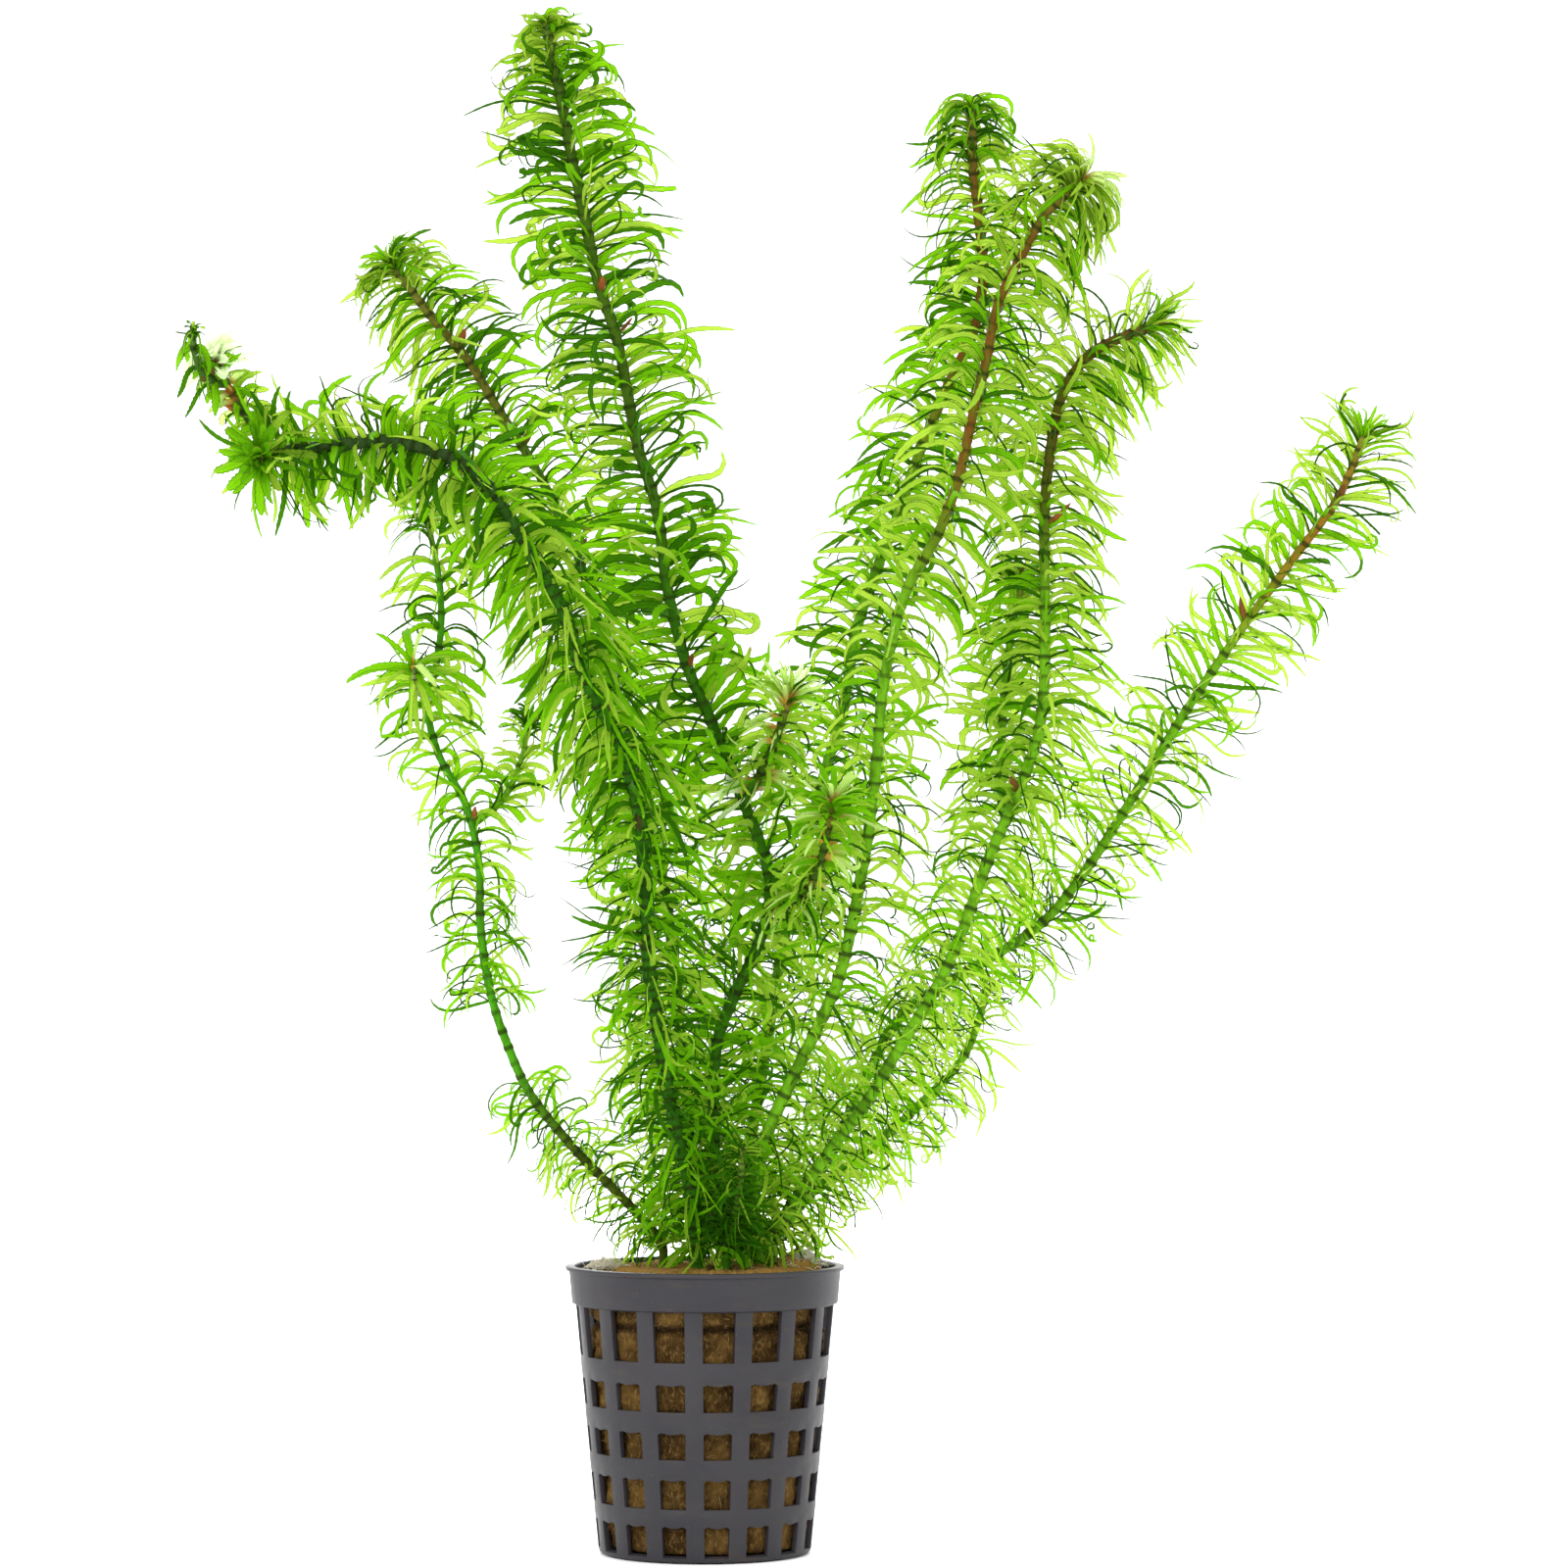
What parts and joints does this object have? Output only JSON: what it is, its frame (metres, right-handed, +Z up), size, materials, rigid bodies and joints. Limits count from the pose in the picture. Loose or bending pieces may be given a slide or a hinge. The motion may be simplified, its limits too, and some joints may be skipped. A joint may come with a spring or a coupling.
{
  "type": "potted egeria najas",
  "caption": "Bunch of bushy aquarium stems with whorls of narrow curling leaves, planted in a slotted net pot with a wool plug.",
  "frame": {"origin": "centre of the pot's flat underside", "axes": "+Z up along the pot's axis, -Y towards the side that the picture shows, +X to the right in it"},
  "size_m": [0.2428, 0.1205, 0.3024],
  "materials": {
    "dark_plastic": "satin",
    "brown_wool": "matte",
    "green_leaf": "satin",
    "young_leaf": "satin"
  },
  "bodies": {
    "root": {"net_pot": "dark_plastic", "wool_plug": "brown_wool", "shoot_tall": "green_leaf", "shoot_arching": "green_leaf", "shoot_back_left": "green_leaf", "shoot_low_left": "green_leaf", "shoot_back_centre": "green_leaf", "shoot_centre_right": "green_leaf", "shoot_right": "green_leaf", "shoot_far_right": "green_leaf", "shoot_low_right": "green_leaf", "shoot_short_front": "green_leaf", "sideshoot_tall_front": "young_leaf", "sideshoot_tall_upper": "young_leaf", "sideshoot_arching_tip": "young_leaf", "sideshoot_arching_bud": "young_leaf", "sideshoot_low_left_fork": "young_leaf", "sideshoot_low_left_front": "young_leaf", "sideshoot_right_back": "young_leaf"}
  },
  "joints": []
}
